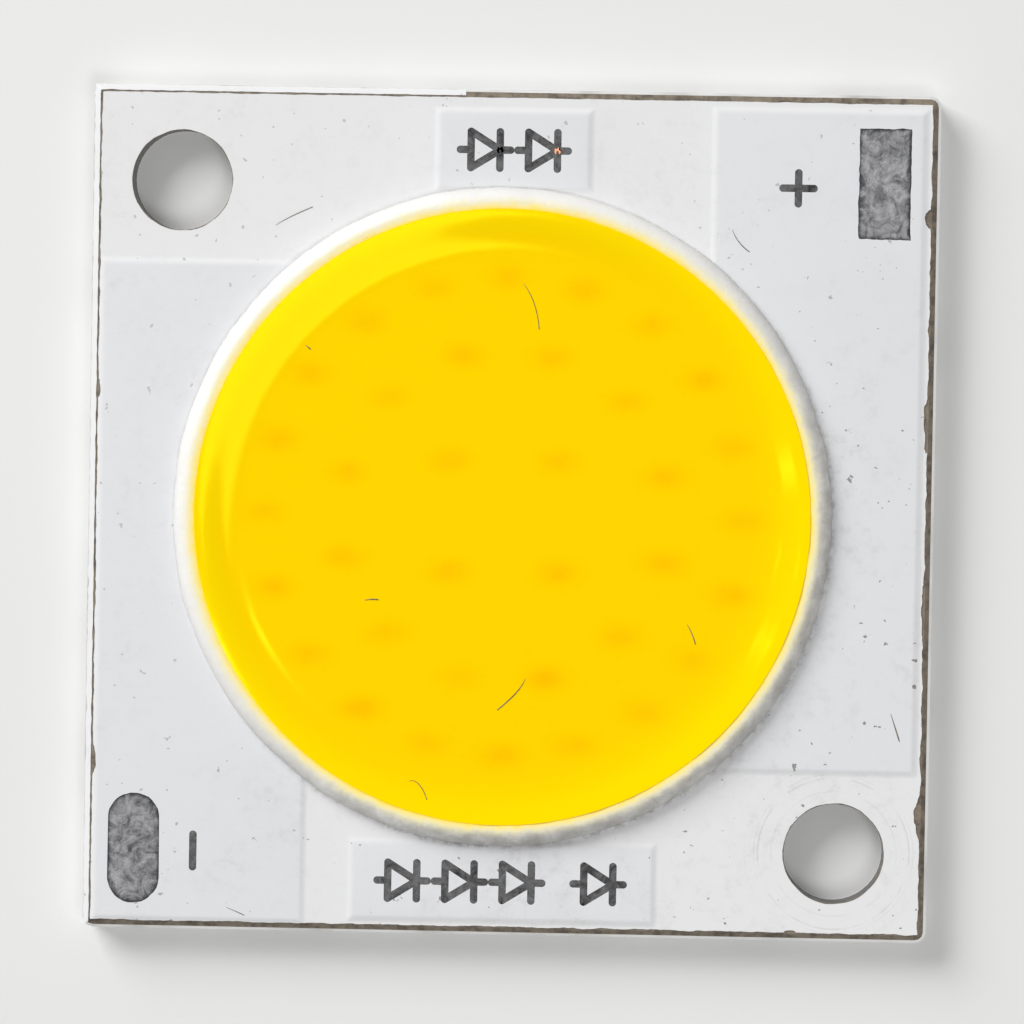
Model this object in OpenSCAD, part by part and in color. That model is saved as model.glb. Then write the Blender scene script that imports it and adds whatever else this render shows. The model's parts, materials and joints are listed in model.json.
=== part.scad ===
// Chip-on-board LED on a square punched aluminium board. Thirty-six blue dies sit on the bare
// metal floor of a round window, in two strings of eighteen, and arched gold wires join them.
// A white silicone dam holds one pool of yellow phosphor gel over them.
// Origin: centre of the board's back face. +Z points out of the lit side.

/* [Board] */
// Side of the square board
board_w = 28; // [26:0.1:32]
// Thickness of the aluminium base
base_t = 1.3; // [0.8:0.1:3]
// Radius of the board's corners in plan
corner_r = 0.35; // [0.15:0.05:1]
// Width of the rolled edge left by the punch, seen from above
roll_w = 0.3; // [0.1:0.05:0.45]
// Depth of the rolled edge below the white coat
roll_depth = 0.2; // [0.1:0.02:0.5]

/* [Screw holes] */
// Diameter of the two screw holes
bore_d = 3.3; // [2.2:0.1:4]
// Distance from the board's edges to the middle of a hole
bore_in = 3.04; // [2.9:0.02:3.4]
// Gap between a hole and the edge of the white coat
bore_mask_gap = 0.08; // [0.02:0.02:0.4]

/* [Layers] */
// Thickness of the insulating layer
dielectric_t = 0.1; // [0.05:0.01:0.15]
// Thickness of the copper
copper_t = 0.07; // [0.035:0.005:0.105]
// Thickness of the white coat
mask_t = 0.04; // [0.02:0.005:0.06]
// How far the coat's raised part runs past the copper
mask_lip = 0.05; // [0.02:0.01:0.12]
// Thickness of the tin on the solder pads
tin_t = 0.03; // [0.01:0.005:0.06]

/* [Copper] */
// Gap between the copper and the board's edge
copper_gap = 0.6; // [0.5:0.05:1.2]
// Width of each large copper area along X
pour_w = 6.6; // [6.2:0.1:8]
// Gap between a hole and the end of the copper area beside it
pour_bore_gap = 1.21; // [0.4:0.05:2]
// Gap between the copper and the edge of the round window
copper_pullback = 0.1; // [0.05:0.01:0.15]
// Width of the solder pads along X
pad_w = 1.72; // [1:0.02:1.9]
// Length of the solder pads along Y
pad_l = 3.66; // [2.4:0.02:4]
// Distance from the copper's outer side edge to the middle of a pad
pad_in_x = 1.15; // [1.1:0.05:2.4]
// Distance from the copper's outer end to the middle of a pad
pad_in_y = 2.2; // [2.1:0.05:3.4]

/* [Legend lands] */
// Width of the copper land above the dam
land_top_w = 4.7; // [3:0.1:5.6]
// Width of the copper land below the dam
land_bottom_w = 9.7; // [6:0.1:10.4]
// Gap between the dam and a land
land_gap = 0.1; // [0.06:0.01:0.3]
// Gap between a land and the board's edge
land_edge_gap = 0.76; // [0.5:0.02:1.2]

/* [Dies] */
// Length of a die along X
die_l = 1; // [0.8:0.02:1.1]
// Width of a die along Y
die_w = 0.6; // [0.3:0.02:0.8]
// Thickness of a die
die_t = 0.15; // [0.1:0.01:0.2]
// Thickness of the adhesive under a die
attach_t = 0.02; // [0.01:0.005:0.04]
// How far the adhesive shows round a die
attach_rim = 0.04; // [0.01:0.01:0.08]
// Radius of the outer ring of dies
outer_ring_r = 7.92; // [7.7:0.02:8.1]
// Radius of the middle ring of dies
middle_ring_r = 5.5; // [5:0.05:5.8]
// Radius of the inner ring of dies
inner_ring_r = 2.57; // [2:0.05:3.2]
// Distance from a die's middle to each of its two wire pads
die_pad_x = 0.35; // [0.2:0.01:0.4]

/* [Wires] */
// Diameter of the gold wire
wire_d = 0.03; // [0.02:0.005:0.05]
// Height of a wire's arch over the line between its ends
loop_h = 0.2; // [0.12:0.01:0.24]
// Diameter of the bonded foot at each end of a wire
foot_d = 0.09; // [0.07:0.01:0.12]
// Height of a bonded foot
foot_h = 0.04; // [0.035:0.005:0.06]
// Distance from the window's edge to the feet on the copper
bus_foot_in = 0.3; // [0.22:0.01:0.4]

/* [Dam and gel] */
// Gap from the outer dies' ends to the edge of the round window
floor_margin = 0.58; // [0.4:0.02:0.7]
// Width of the strip of copper left bare for the wires
strip_w = 0.75; // [0.65:0.01:0.9]
// Width of the dam where it meets the coat
dam_w = 1.15; // [1:0.05:1.3]
// Height of the dam above the coat
dam_h = 0.7; // [0.6:0.02:0.85]
// Gap between the dam's crest and the brim of the gel
brim_gap = 0.15; // [0.1:0.01:0.22]
// How far the middle of the gel lies below the dam's crest
gel_sag = 0.28; // [0.15:0.01:0.32]
// Width of the curved edge where the gel climbs the dam
climb_w = 1.1; // [0.8:0.05:1.5]

/* [Placement] */
// Shift of the circuit and the holes along X, from the middle of the board
art_dx = -0.07; // [-0.15:0.01:0.15]
// Shift of the circuit and the holes along Y, from the middle of the board
art_dy = -0.12; // [-0.15:0.01:0.15]
// Shift of the dies along X, from the middle of the circuit
array_dx = -0.1; // [-0.15:0.01:0.15]
// Shift of the dam along X, from the middle of the circuit
dam_dx = -0.19; // [-0.2:0.01:0.2]

/* [Hidden] */
$fn = 96;
// Reach of a cutting tool past the solid that it cuts
over = 1;
corner_steps = 3;
// Flat sides that a wire and its feet have in place of a round section
wire_sides = 8;

// Heights of the layers' upper faces
z_base = base_t;
z_dielectric = z_base + dielectric_t;
z_copper = z_dielectric + copper_t;
z_mask = z_dielectric + mask_t;
z_mask_high = z_copper + mask_t;
z_die = z_base + attach_t + die_t;
z_crest = z_mask + dam_h;

// The round window, and the dam beyond it
floor_r = outer_ring_r + die_l / 2 + floor_margin;
bus_foot_r = floor_r + bus_foot_in;
crest_r = floor_r + strip_w + dam_w / 2;
dam_outer_r = crest_r + dam_w / 2;
dam_tube_r = (dam_w * dam_w / 4 + dam_h * dam_h) / (2 * dam_h);
gel_r = crest_r - brim_gap;
gel_steps = 12;
// The gel's curved edge is level again at this many times its width
climb_reach = 2.6;

// The copper's outer edges, and the middles of the holes, pads and lands
copper_out = board_w / 2 - copper_gap;
bore_at = board_w / 2 - bore_in;
pour_l = copper_out + bore_at - bore_d / 2 - pour_bore_gap;
pad_x = copper_out - pad_in_x;
pad_y = copper_out - pad_in_y;
land_in = dam_outer_r + land_gap;
land_h = board_w / 2 - land_edge_gap - land_in;
land_y = land_in + land_h / 2;

// Dies: ring radius, number, first angle
outer_count = 20;
middle_count = 12;
inner_count = 4;
middle_turn = 180 / middle_count;
inner_turn = 180 / inner_count;

function ring_point(r, a) = [r * cos(a), r * sin(a)];
function outer_die(i) = ring_point(outer_ring_r, i * 360 / outer_count);
function middle_die(i) = ring_point(middle_ring_r, middle_turn + i * 360 / middle_count);
function inner_die(i) = ring_point(inner_ring_r, inner_turn + i * 360 / inner_count);
function bus_foot(i) = ring_point(bus_foot_r, i * 360 / outer_count);

outer_dies = [for (i = [0 : outer_count - 1]) outer_die(i)];
middle_dies = [for (i = [0 : middle_count - 1]) middle_die(i)];
inner_dies = [for (i = [0 : inner_count - 1]) inner_die(i)];
all_dies = concat(outer_dies, middle_dies, inner_dies);

// The upper string: from the right copper out along the rim, back along the middle ring,
// across the middle, and the same way out to the left copper
string_dies = concat(
    [for (i = [0 : 5]) outer_die(i)],
    [for (i = [2 : -1 : 0]) middle_die(i)],
    [inner_die(0), inner_die(1)],
    [for (i = [5 : -1 : 3]) middle_die(i)],
    [for (i = [6 : 9]) outer_die(i)]
);
string_length = len(string_dies);
string_stops = concat([bus_foot(0)], string_dies, [bus_foot(9)]);

// Side of a die that faces the stop before it, 1 for right and -1 for left
function in_side(i) = string_stops[i - 1].x > string_stops[i + 1].x ? 1 : -1;
function is_bus(i) = i == 0 || i == string_length + 1;
function stop_z(i) = is_bus(i) ? z_copper : z_die;
function in_point(i) = string_stops[i] + [is_bus(i) ? 0 : in_side(i) * die_pad_x, 0];
function out_point(i) = string_stops[i] - [is_bus(i) ? 0 : in_side(i) * die_pad_x, 0];

function two_digits(i) = i < 10 ? str("0", i) : str(i);
outer_names = [for (i = [1 : outer_count]) str("die_outer_", two_digits(i))];
middle_names = [for (i = [1 : middle_count]) str("die_middle_", two_digits(i))];
inner_names = [for (i = [1 : inner_count]) str("die_inner_", i)];
die_names = concat(outer_names, middle_names, inner_names);

// Placement of the circuit, of the dies and of the dam on the board

module on_art() {
    translate([art_dx, art_dy, 0]) children();
}

module on_array() {
    on_art() translate([array_dx, 0, 0]) children();
}

module on_dam() {
    on_art() translate([dam_dx, 0, 0]) children();
}

// Board

function corner_arc(turn) = [
    for (k = [0 : corner_steps])
        let (a = turn + 90 * k / corner_steps, c = board_w / 2 - corner_r)
        [
            c * sign(cos(turn + 45)) + corner_r * cos(a),
            c * sign(sin(turn + 45)) + corner_r * sin(a)
        ]
];
board_points = [for (turn = [0 : 90 : 270]) each corner_arc(turn)];

// Half-space over one edge of the board, sloping as the punch rolled it
module roll_wedge(a, b) {
    along = b - a;
    middle = (a + b) / 2;
    reach = board_w;
    translate([middle.x, middle.y, z_mask - roll_depth])
        rotate([0, 0, atan2(along.y, along.x)])
        rotate([90, 0, 90])
        linear_extrude(height = 2 * reach, center = true)
        polygon([
            [-roll_w, -roll_depth],
            [-roll_w, 2 * roll_depth],
            [2 * roll_w, 2 * roll_depth]
        ]);
}

module board_slab(z_low, thickness) {
    count = len(board_points);
    difference() {
        translate([0, 0, z_low]) linear_extrude(height = thickness) polygon(board_points);
        for (i = [0 : count - 1])
            roll_wedge(board_points[i], board_points[(i + 1) % count]);
    }
}

module bores(r) {
    on_art()
        for (side = [-1, 1])
            translate([side * bore_at, -side * bore_at, -over])
            cylinder(r = r, h = z_mask_high + 2 * over);
}

module window(r) {
    on_art() translate([0, 0, z_base]) cylinder(r = r, h = z_crest);
}

module base_plate() {
    color("silver")
    difference() {
        board_slab(0, base_t);
        bores(bore_d / 2);
    }
}

module dielectric_layer() {
    color("saddlebrown")
    difference() {
        board_slab(z_base, dielectric_t);
        bores(bore_d / 2);
        window(floor_r);
    }
}

// Copper: the right pour feeds the strings and the left one is the same, turned half round

module pour_outline(grow) {
    translate([copper_out - pour_w - grow, copper_out - pour_l - grow])
        square([pour_w + 2 * grow, pour_l + 2 * grow]);
}

module land_outline(w, y, grow) {
    translate([0, y]) square([w + 2 * grow, land_h + 2 * grow], center = true);
}

module copper_sheet(height) {
    on_art() translate([0, 0, z_dielectric]) linear_extrude(height = height) children();
}

module pour(turn) {
    difference() {
        copper_sheet(copper_t) rotate(turn) pour_outline(0);
        window(floor_r + copper_pullback);
    }
}

module copper_positive() {
    color("peru") pour(0);
}

module copper_negative() {
    color("peru") pour(180);
}

module legend_land_top() {
    color("peru") copper_sheet(copper_t) land_outline(land_top_w, land_y, 0);
}

module legend_land_bottom() {
    color("peru") copper_sheet(copper_t) land_outline(land_bottom_w, -land_y, 0);
}

// White coat: one skin that steps up over the copper, open at the pads and the window

module positive_pad_outline() {
    translate([pad_x, pad_y]) square([pad_w, pad_l], center = true);
}

module negative_pad_outline() {
    bar_l = pad_l - pad_w;
    translate([-pad_x, -pad_y]) {
        square([pad_w, bar_l], center = true);
        for (side = [-1, 1])
            translate([0, side * bar_l / 2]) circle(d = pad_w);
    }
}

module solder_mask() {
    color("whitesmoke")
    difference() {
        union() {
            board_slab(z_dielectric, mask_t);
            copper_sheet(copper_t + mask_t) {
                pour_outline(mask_lip);
                rotate(180) pour_outline(mask_lip);
                land_outline(land_top_w, land_y, mask_lip);
                land_outline(land_bottom_w, -land_y, mask_lip);
            }
        }
        copper_positive();
        copper_negative();
        legend_land_top();
        legend_land_bottom();
        copper_sheet(copper_t + mask_t + over) {
            positive_pad_outline();
            negative_pad_outline();
        }
        window(crest_r);
        bores(bore_d / 2 + bore_mask_gap);
    }
}

module tin() {
    on_art() translate([0, 0, z_copper]) linear_extrude(height = tin_t) children();
}

module pad_positive() {
    color("dimgray") tin() positive_pad_outline();
}

module pad_negative() {
    color("dimgray") tin() negative_pad_outline();
}

// Dies, each glued to the bare floor of the window

module block(at, size_x, size_y, z_low, height) {
    translate([at.x - size_x / 2, at.y - size_y / 2, z_low]) cube([size_x, size_y, height]);
}

module die(at) {
    color("steelblue") on_array() block(at, die_l, die_w, z_base + attach_t, die_t);
}

module die_attach() {
    rim = 2 * attach_rim;
    color("lightgray")
    on_array()
        for (at = all_dies) block(at, die_l + rim, die_w + rim, z_base, attach_t);
}

// Wires: a circular arch between two flat bonded feet

module wire_foot(at, z) {
    translate([at.x, at.y, z]) cylinder(d = foot_d, h = foot_h, $fn = wire_sides);
}

module wire_arch(from, z_from, to, z_to) {
    run = norm(to - from);
    rise = z_to - z_from;
    chord = norm([run, rise]);
    arch_r = (chord * chord / 4 + loop_h * loop_h) / (2 * loop_h);
    half_turn = asin(chord / 2 / arch_r);
    translate([from.x, from.y, z_from + foot_h / 2])
        rotate([0, 0, atan2(to.y - from.y, to.x - from.x)])
        rotate([0, -atan2(rise, run), 0])
        translate([chord / 2, 0, loop_h - arch_r])
        rotate([90, 0, 0])
        rotate([0, 0, 90 - half_turn])
        rotate_extrude(angle = 2 * half_turn)
        translate([arch_r, 0]) circle(d = wire_d, $fn = wire_sides);
}

module string_wires() {
    on_array()
        for (i = [0 : string_length])
            union() {
                wire_foot(out_point(i), stop_z(i));
                wire_foot(in_point(i + 1), stop_z(i + 1));
                wire_arch(out_point(i), stop_z(i), in_point(i + 1), stop_z(i + 1));
            }
}

module wires_upper_string() {
    color("gold") string_wires();
}

// The lower string is the upper one turned half round about the middle of the dies
module wires_lower_string() {
    middle = [art_dx + array_dx, art_dy, 0];
    color("gold") translate(middle) rotate(180) translate(-middle) string_wires();
}

// Dam: a bead of round section that follows the steps of the coat under it

module dam_bead() {
    on_dam()
        rotate_extrude()
        translate([crest_r, 0])
        intersection() {
            translate([0, z_crest - dam_tube_r]) circle(r = dam_tube_r, $fn = 64);
            translate([-dam_w, z_dielectric]) square([2 * dam_w, z_crest]);
        }
}

module dam_ring() {
    color("ivory")
    difference() {
        dam_bead();
        solder_mask();
        copper_positive();
        copper_negative();
    }
}

// Gel: fills the window up to the dam, round every die and wire, with a dished surface

function gel_z(inward) = z_crest - gel_sag * (1 - exp(-pow(inward / climb_w, 2)));
gel_curve = [
    for (k = [0 : gel_steps])
        let (inward = brim_gap + (climb_reach * climb_w - brim_gap) * k / gel_steps)
        [crest_r - inward, gel_z(inward)]
];

module gel_pool() {
    edge = gel_curve[gel_steps];
    on_dam()
        rotate_extrude()
        polygon(concat([[0, z_base], [gel_r, z_base]], gel_curve, [[0, edge.y]]));
}

module phosphor_gel() {
    color("gold")
    difference() {
        gel_pool();
        dam_bead();
        dielectric_layer();
        copper_positive();
        copper_negative();
        die_attach();
        for (at = all_dies) die(at);
        wires_upper_string();
        wires_lower_string();
    }
}

base_plate();
dielectric_layer();
copper_positive();
copper_negative();
legend_land_top();
legend_land_bottom();
solder_mask();
pad_positive();
pad_negative();
dam_ring();
phosphor_gel();
die_attach();
wires_upper_string();
wires_lower_string();
for (i = [0 : len(all_dies) - 1])
    die(all_dies[i]);
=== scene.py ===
"""Looks of a chip-on-board LED: a white-coated aluminium board round a pool of yellow phosphor gel.

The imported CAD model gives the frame. Every place comes from its nodes, its mounts or its box, and the
sizes that belong to the finish alone, such as the raggedness of the coat's edge, are named here.
All lengths are in millimetres and become metres only where a mesh or a lamp is made.
"""

from __future__ import annotations

import json
import logging
import math
import random
from collections.abc import Callable, Iterator, Sequence
from contextlib import contextmanager
from dataclasses import dataclass
from enum import Enum

import bpy
from mathutils import Matrix, Vector, noise

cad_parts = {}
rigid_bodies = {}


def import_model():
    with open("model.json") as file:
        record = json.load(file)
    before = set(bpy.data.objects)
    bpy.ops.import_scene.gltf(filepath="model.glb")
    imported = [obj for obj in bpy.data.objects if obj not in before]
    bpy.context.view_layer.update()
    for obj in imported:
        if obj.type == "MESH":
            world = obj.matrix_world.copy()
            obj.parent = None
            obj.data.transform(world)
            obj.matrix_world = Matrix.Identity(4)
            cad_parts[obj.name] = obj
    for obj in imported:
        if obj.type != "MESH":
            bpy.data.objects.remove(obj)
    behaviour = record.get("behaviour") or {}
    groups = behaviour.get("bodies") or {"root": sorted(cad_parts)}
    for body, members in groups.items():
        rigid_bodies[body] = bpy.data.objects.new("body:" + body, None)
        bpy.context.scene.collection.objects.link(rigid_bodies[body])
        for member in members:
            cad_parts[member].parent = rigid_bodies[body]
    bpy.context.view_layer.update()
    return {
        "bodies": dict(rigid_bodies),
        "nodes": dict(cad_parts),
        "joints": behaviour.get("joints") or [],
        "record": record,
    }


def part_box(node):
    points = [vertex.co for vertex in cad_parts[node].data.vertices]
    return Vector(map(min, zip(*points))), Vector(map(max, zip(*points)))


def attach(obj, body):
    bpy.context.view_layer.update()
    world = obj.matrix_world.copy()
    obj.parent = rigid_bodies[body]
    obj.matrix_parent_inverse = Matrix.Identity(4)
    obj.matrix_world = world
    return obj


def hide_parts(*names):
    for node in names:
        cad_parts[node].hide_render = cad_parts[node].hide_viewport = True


MM = 0.001
BODY = "root"
NEAR = 1e-7
log = logging.getLogger("scene")

Outline = Callable[[float], tuple[float, float]]
Colour = tuple[float, float, float]


class Slot(Enum):
    """Material slots of the record."""

    ALUMINIUM = "aluminium_base"
    DIELECTRIC = "dielectric"
    COPPER = "copper"
    COAT = "white_coat"
    TIN = "tin"
    DAM = "white_silicone"
    GEL = "phosphor_silicone"
    ADHESIVE = "die_adhesive"
    DIE = "die"
    GOLD = "gold_wire"


class Side(Enum):
    """Sides of the board, in the order in which its outline runs, with how ragged the coat is there."""

    FRONT = 0.035
    RIGHT = 0.045
    BACK = 0.02
    LEFT = 0.03


# Places and sizes read from the frame


@dataclass(frozen=True)
class Span:
    """Lowest and highest corner of a node."""

    low: Vector
    high: Vector

    @classmethod
    def of(cls, node: str) -> Span:
        """Span of a node, in millimetres."""
        low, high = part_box(node)
        return cls(low / MM, high / MM)

    @property
    def middle(self) -> Vector:
        """Middle of the span."""
        return (self.low + self.high) / 2

    @property
    def size(self) -> Vector:
        """Size of the span along each axis."""
        return self.high - self.low

    def outside(self, x: float, y: float) -> float:
        """Distance from a point to the span's rectangle in plan, negative inside it."""
        return max(
            abs(x - self.middle.x) - self.size.x / 2,
            abs(y - self.middle.y) - self.size.y / 2,
        )


@dataclass(frozen=True)
class Layout:
    """Places and heights that several pieces share."""

    board: Span
    coat: Span
    pours: tuple[Span, ...]
    lands: tuple[Span, ...]
    dam: Span
    gel: Span
    gel_low: float
    dies: tuple[Span, ...]
    holes: tuple[Vector, ...]
    hole_r: float
    coat_t: float
    crest_r: float

    @classmethod
    def read(cls, frame: dict) -> Layout:
        """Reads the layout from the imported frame.


        Returns:
            The layout, in millimetres.
        """
        nodes = frame["nodes"]
        mounts = [m for m in frame["record"]["mounts"] if m["name"].startswith("screw_hole")]
        pour, coat, dam, gel = (
            Span.of(n) for n in ("copper_positive", "solder_mask", "dam_ring", "phosphor_gel")
        )
        crest = [
            (v.co / MM - dam.middle).xy.length
            for v in nodes["dam_ring"].data.vertices
            if v.co.z / MM > dam.high.z - MM
        ]
        centre = nodes["phosphor_gel"].ray_cast(gel.middle.xy.to_3d() * MM + Vector((0, 0, 1)), (0, 0, -1))
        die_names = sorted(n for n in nodes if n.startswith(("die_outer", "die_middle", "die_inner")))
        return cls(
            board=Span.of("base_plate"),
            coat=coat,
            pours=(pour, Span.of("copper_negative")),
            lands=(Span.of("legend_land_top"), Span.of("legend_land_bottom")),
            dam=dam,
            gel=gel,
            gel_low=centre[1].z / MM,
            dies=tuple(Span.of(n) for n in die_names),
            holes=tuple(Vector(m["pos_m"]) / MM for m in mounts),
            hole_r=mounts[0]["dims"]["r_mm"],
            coat_t=coat.high.z - pour.high.z,
            crest_r=sum(crest) / len(crest),
        )

    @property
    def coat_top(self) -> float:
        """Height of the coat beside the copper."""
        return self.coat.low.z + self.coat_t

    @property
    def copper_top(self) -> float:
        """Height of the copper."""
        return self.pours[0].high.z

    @property
    def tube_r(self) -> float:
        """Radius of the dam's round section."""
        return self.dam.size.x / 2 - self.crest_r

    def coat_rise(self, x: float, y: float, level: float, reach: float) -> float:
        """Share of the copper's height by which the coat stands up at a point.

        Args:
            x: Place of the point along X.
            y: Place of the point along Y.
            level: Distance past the copper's edge over which the coat stays up.
            reach: Distance past that over which it falls.

        Returns:
            From 0, beside the copper, to 1, over it.
        """
        away = min(span.outside(x, y) for span in self.pours + self.lands)
        share = min(max((away - level) / reach, 0.0), 1.0)
        return 1 - share * share * (3 - 2 * share)

    def coat_z(self, x: float, y: float) -> float:
        """Height of the coat's face at a point."""
        return self.coat_top + (self.coat.high.z - self.coat_top) * self.coat_rise(x, y, WhiteCoat.step_level, WhiteCoat.step_reach)

    def gel_z(self, r: float) -> float:
        """Height of the gel's face at a distance from the middle of the dam."""
        climb = math.exp(-(((self.crest_r - r) / GelPool.climb_w) ** 2))
        brim = math.exp(-(((self.crest_r - self.gel.size.x / 2) / GelPool.climb_w) ** 2))
        return self.gel_low + (self.gel.high.z - self.gel_low) * climb / brim


# Modelling


def take(*pieces: bpy.types.Object) -> None:
    """Selects these pieces alone and makes the first one active."""
    bpy.ops.object.select_all(action="DESELECT")
    for piece in pieces:
        piece.select_set(True)
    bpy.context.view_layer.objects.active = pieces[0]


@contextmanager
def editing(piece: bpy.types.Object) -> Iterator[None]:
    """Opens a piece in edit mode with all of its faces selected, and closes it again."""
    take(piece)
    bpy.ops.object.mode_set(mode="EDIT")
    bpy.ops.mesh.select_mode(type="FACE")
    bpy.ops.mesh.select_all(action="SELECT")
    yield
    bpy.ops.object.mode_set(mode="OBJECT")


def start(name: str) -> bpy.types.Object:
    """Names the primitive that was just added and puts its place into its mesh."""
    piece = bpy.context.object
    piece.name = piece.data.name = name
    take(piece)
    bpy.ops.object.transform_apply(location=True, rotation=True, scale=True)
    return piece


def modify(piece: bpy.types.Object, kind: str, **settings: object) -> None:
    """Adds a modifier to a piece, sets it and applies it.

    Args:
        piece: The piece to shape.
        kind: The modifier's type.
        **settings: The modifier's properties.
    """
    take(piece)
    modifier = piece.modifiers.new(kind.lower(), kind)
    for key, value in settings.items():
        setattr(modifier, key, value)
    bpy.ops.object.modifier_apply(modifier=modifier.name)


def discard(*pieces: bpy.types.Object) -> None:
    """Removes pieces that only served to shape others."""
    for piece in pieces:
        bpy.data.objects.remove(piece, do_unlink=True)


def join(pieces: Sequence[bpy.types.Object], name: str) -> bpy.types.Object:
    """Joins pieces into one and names it."""
    take(*pieces)
    bpy.ops.object.join()
    return start(name)


def face_outwards(piece: bpy.types.Object) -> None:
    """Merges a piece's doubled points and turns its faces outwards."""
    with editing(piece):
        bpy.ops.mesh.remove_doubles(threshold=NEAR)
        bpy.ops.mesh.normals_make_consistent(inside=False)


def smooth(piece: bpy.types.Object, degrees: float) -> None:
    """Shades a piece smooth, apart from edges sharper than an angle."""
    take(piece)
    bpy.ops.object.shade_smooth_by_angle(angle=math.radians(degrees))


def cut(piece: bpy.types.Object, cutters: Sequence[bpy.types.Object], operation: str = "DIFFERENCE") -> None:
    """Cuts a piece with others, or joins them to it as one solid, and removes them.

    Args:
        piece: The piece to shape.
        cutters: The closed meshes that shape it.
        operation: DIFFERENCE or UNION.
    """
    tray = bpy.data.collections.new("tray")
    bpy.context.scene.collection.children.link(tray)
    for cutter in cutters:
        tray.objects.link(cutter)
    modify(piece, "BOOLEAN", operation=operation, solver="EXACT", operand_type="COLLECTION", collection=tray)
    discard(*cutters)
    bpy.data.collections.remove(tray)


def prism(name: str, outline: Outline, count: int, low: float, high: float) -> bpy.types.Object:
    """Makes a closed prism on an outline.

    Args:
        name: The piece's name.
        outline: Point of the outline at each share of the way round, from 0 to 1.
        count: Number of points on the outline.
        low: Height of the prism's lower face.
        high: Height of its upper face.

    Returns:
        The prism.
    """
    bpy.ops.mesh.primitive_circle_add(vertices=count, radius=MM, fill_type="NGON")
    piece = start(name)
    for k, vertex in enumerate(piece.data.vertices):
        vertex.co = Vector((*outline(k / count), low)) * MM
    with editing(piece):
        bpy.ops.mesh.extrude_region_move(TRANSFORM_OT_translate={"value": (0, 0, (high - low) * MM)})
        bpy.ops.mesh.select_all(action="SELECT")
        bpy.ops.mesh.normals_make_consistent(inside=False)
    return piece


def rough(x: float, y: float, seed: float, octaves: int = 4) -> float:
    """Fractal noise at a point, from about -1 to 1."""
    return noise.fractal(Vector((x, y, seed)), 0.8, 2.1, octaves)


def blob(centre: Vector, half_x: float, half_y: float, ragged: float, seed: float) -> Outline:
    """Outline of an uneven ellipse.

    Args:
        centre: Its middle.
        half_x: Half of its length along X.
        half_y: Half of its length along Y.
        ragged: How far its edge wanders.
        seed: What sets it apart from others.

    Returns:
        The outline.
    """

    def outline(share: float) -> tuple[float, float]:
        turn = 2 * math.pi * share
        x, y = half_x * math.cos(turn), half_y * math.sin(turn)
        grow = 1 + ragged * rough(2.2 * x, 2.2 * y, seed) / max(min(half_x, half_y), ragged)
        return centre.x + x * grow, centre.y + y * grow

    return outline


def capsule(a: Vector, b: Vector, r: float) -> Outline:
    """Outline of a stroke with round ends, from one point to another."""
    heading = math.atan2(b.y - a.y, b.x - a.x)

    def outline(share: float) -> tuple[float, float]:
        end = b if share < 0.5 else a
        turn = heading - math.pi / 2 + 2 * math.pi * share
        return end.x + r * math.cos(turn), end.y + r * math.sin(turn)

    return outline


# Finishes


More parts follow.
